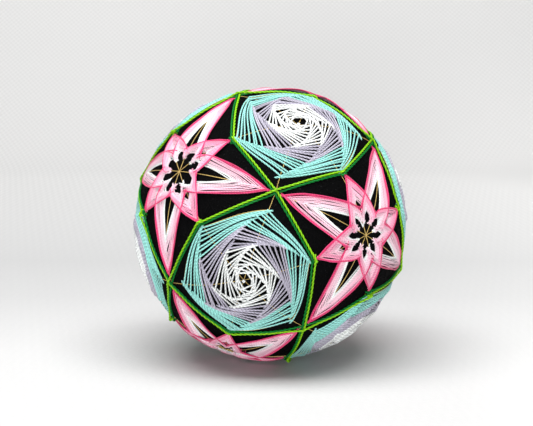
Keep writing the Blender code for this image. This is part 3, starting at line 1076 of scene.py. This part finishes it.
def backdrop_finish():
    """Pale cloth with a fine weave and painted light and shade: a little greyer behind the ball,
    paler to the right and where it hangs.
    """
    finish = Finish("pale_backdrop", 0.9)
    place = finish.signal(finish.node("ShaderNodeTexCoord"), "Object")
    split = finish.node("ShaderNodeSeparateXYZ", {}, {0: place})
    across, depth, height = (finish.signal(split, index) for index in range(3))
    up = depth * 0.17 + height
    rising = ((across + up) * (1.0 / WEAVE_STEP)).wave()
    falling = ((across - up) * (1.0 / WEAVE_STEP)).wave()
    lint = finish.noise(place, 700.0, 2.0)
    far = ((depth - 0.15) * 4.0).clamped()
    # Painted shade and light: the cloth is darker just behind the ball, much paler further back,
    # and a little less pale up the backdrop
    painted_light_and_shade = 0.18 - (depth * 12.0).clamped() * 0.16 + far * 0.78
    painted_light_and_shade = painted_light_and_shade - ((depth - 0.42) * 6.0).clamped() * 0.12
    # Painted light: the cloth is paler to the right, but not far back or up the backdrop
    painted_light_right = ((across - 0.05) * 4.0).clamped() * (1.0 - ((depth - 0.35) * 4.0).clamped())
    pale = (rising + falling - 1.0) * (far * 0.07 + 0.01) + lint * 0.05 + painted_light_and_shade + painted_light_right
    finish.drive("Base Color", finish.mix(pale, (0.5, 0.5, 0.5, 1.0), (0.9, 0.895, 0.885, 1.0)))
    finish.bump(lint, 0.2 * MM, 0.4)
    return finish.material


def lay_floor():
    """A plain pale floor that turns up into a backdrop."""
    bm = bmesh.new()
    bmesh.ops.create_grid(bm, x_segments=1, y_segments=1, size=1.0)
    for vert in bm.verts:
        vert.co = (vert.co.x * FLOOR_SIDE, FLOOR_FRONT if vert.co.y < 0 else FLOOR_BACK, 0.0)
    back = [edge for edge in bm.edges if all(vert.co.y > 0 for vert in edge.verts)]
    bmesh.ops.spin(
        bm,
        geom=back,
        cent=(0.0, FLOOR_BACK, CURVE_RADIUS),
        axis=(1.0, 0.0, 0.0),
        angle=math.radians(CURVE_DEGREES),
        steps=CURVE_STEPS,
    )
    rim = max(bm.edges, key=lambda edge: sum(vert.co.z for vert in edge.verts))
    grown = bmesh.ops.extrude_edge_only(bm, edges=[rim])
    for vert in [item for item in grown["geom"] if isinstance(item, bmesh.types.BMVert)]:
        vert.co += Vector(BACKDROP_RUN)
    bmesh.ops.recalc_face_normals(bm, faces=bm.faces[:])
    floor = bpy.data.objects.new("floor", smooth_mesh("floor", bm, backdrop_finish()))
    bpy.context.scene.collection.objects.link(floor)


def set_light(scene):
    """The softboxes, and a dim even light from the room."""
    scene.view_settings.view_transform = "Standard"
    world = bpy.data.worlds.new("soft_room")
    world.use_nodes = True
    background = world.node_tree.nodes["Background"]
    background.inputs["Color"].default_value = ROOM_COLOUR
    background.inputs["Strength"].default_value = ROOM_STRENGTH
    scene.world = world
    for name, place, aim, size, power in SOFTBOXES:
        light = bpy.data.lights.new(name, "AREA")
        light.shape = "RECTANGLE"
        light.size, light.size_y = size
        light.energy = power
        lamp = bpy.data.objects.new(name, light)
        lamp.location = place
        lamp.rotation_euler = (Vector(aim) - Vector(place)).to_track_quat("-Z", "Y").to_euler()
        scene.collection.objects.link(lamp)


def set_camera(scene):
    camera_data = bpy.data.cameras.new("camera")
    camera_data.lens = CAMERA_LENS
    camera_data.sensor_width = CAMERA_SENSOR
    camera = bpy.data.objects.new("camera", camera_data)
    camera.location = CAMERA_PLACE
    camera.rotation_euler = (math.radians(CAMERA_TILT), 0.0, 0.0)
    scene.collection.objects.link(camera)
    scene.camera = camera


# The add-on

def settings(context):
    """The sizes and the colours that the panel shows."""
    return context.scene.temari_sizes, context.scene.temari_colours


class TEMARI_OT_wind_ball(bpy.types.Operator):
    """Winds the black ball and its last fine threads"""

    bl_idname = "temari.wind_ball"
    bl_label = "Wind the ball"

    def execute(self, context):
        wound_ball(*settings(context))
        return {"FINISHED"}


class TEMARI_OT_lay_guides(bpy.types.Operator):
    """Lays the gold guide threads of the division"""

    bl_idname = "temari.lay_guides"
    bl_label = "Lay the guide threads"

    def execute(self, context):
        guide_threads(*settings(context))
        return {"FINISHED"}


class TEMARI_OT_stitch_whirls(bpy.types.Operator):
    """Stitches the eight whirls"""

    bl_idname = "temari.stitch_whirls"
    bl_label = "Stitch the whirls"

    def execute(self, context):
        for number, grid in enumerate(WHIRL_CENTRES, start=1):
            stitch_whirl(number, grid, *settings(context))
        return {"FINISHED"}


class TEMARI_OT_stitch_lilies(bpy.types.Operator):
    """Stitches the six lilies"""

    bl_idname = "temari.stitch_lilies"
    bl_label = "Stitch the lilies"

    def execute(self, context):
        for number, grid in enumerate(LILY_CENTRES, start=1):
            stitch_lily(number, grid, *settings(context))
        return {"FINISHED"}


class TEMARI_OT_stitch_rows(bpy.types.Operator):
    """Stitches the light and dark green outline rows"""

    bl_idname = "temari.stitch_rows"
    bl_label = "Stitch the outline rows"

    def execute(self, context):
        stitch_rows(*settings(context))
        return {"FINISHED"}


class TEMARI_OT_set_stage(bpy.types.Operator):
    """Makes the floor, the soft light and the camera"""

    bl_idname = "temari.set_stage"
    bl_label = "Set the stage"

    def execute(self, context):
        lay_floor()
        set_light(context.scene)
        set_camera(context.scene)
        return {"FINISHED"}


OPERATORS = (
    TEMARI_OT_wind_ball,
    TEMARI_OT_lay_guides,
    TEMARI_OT_stitch_whirls,
    TEMARI_OT_stitch_lilies,
    TEMARI_OT_stitch_rows,
    TEMARI_OT_set_stage,
)


class TEMARI_PT_threads(bpy.types.Panel):
    """Sizes, colours and steps of the temari ball"""

    bl_label = "Temari ball"
    bl_idname = "TEMARI_PT_threads"
    bl_space_type = "VIEW_3D"
    bl_region_type = "UI"
    bl_category = "Temari"

    def draw(self, context):
        for group in settings(context):
            box = self.layout.box()
            for name in group.__annotations__:
                box.prop(group, name)
        for operator in OPERATORS:
            self.layout.operator(operator.bl_idname)


CLASSES = (TemariSizes, TemariColours, *OPERATORS, TEMARI_PT_threads)


def register():
    for made in CLASSES:
        bpy.utils.register_class(made)
    bpy.types.Scene.temari_sizes = bpy.props.PointerProperty(type=TemariSizes)
    bpy.types.Scene.temari_colours = bpy.props.PointerProperty(type=TemariColours)


def unregister():
    del bpy.types.Scene.temari_colours
    del bpy.types.Scene.temari_sizes
    for made in reversed(CLASSES):
        bpy.utils.unregister_class(made)


def main():
    register()
    bpy.ops.temari.wind_ball()
    bpy.ops.temari.lay_guides()
    bpy.ops.temari.stitch_whirls()
    bpy.ops.temari.stitch_lilies()
    bpy.ops.temari.stitch_rows()
    bpy.ops.temari.set_stage()


if __name__ == "__main__":
    main()
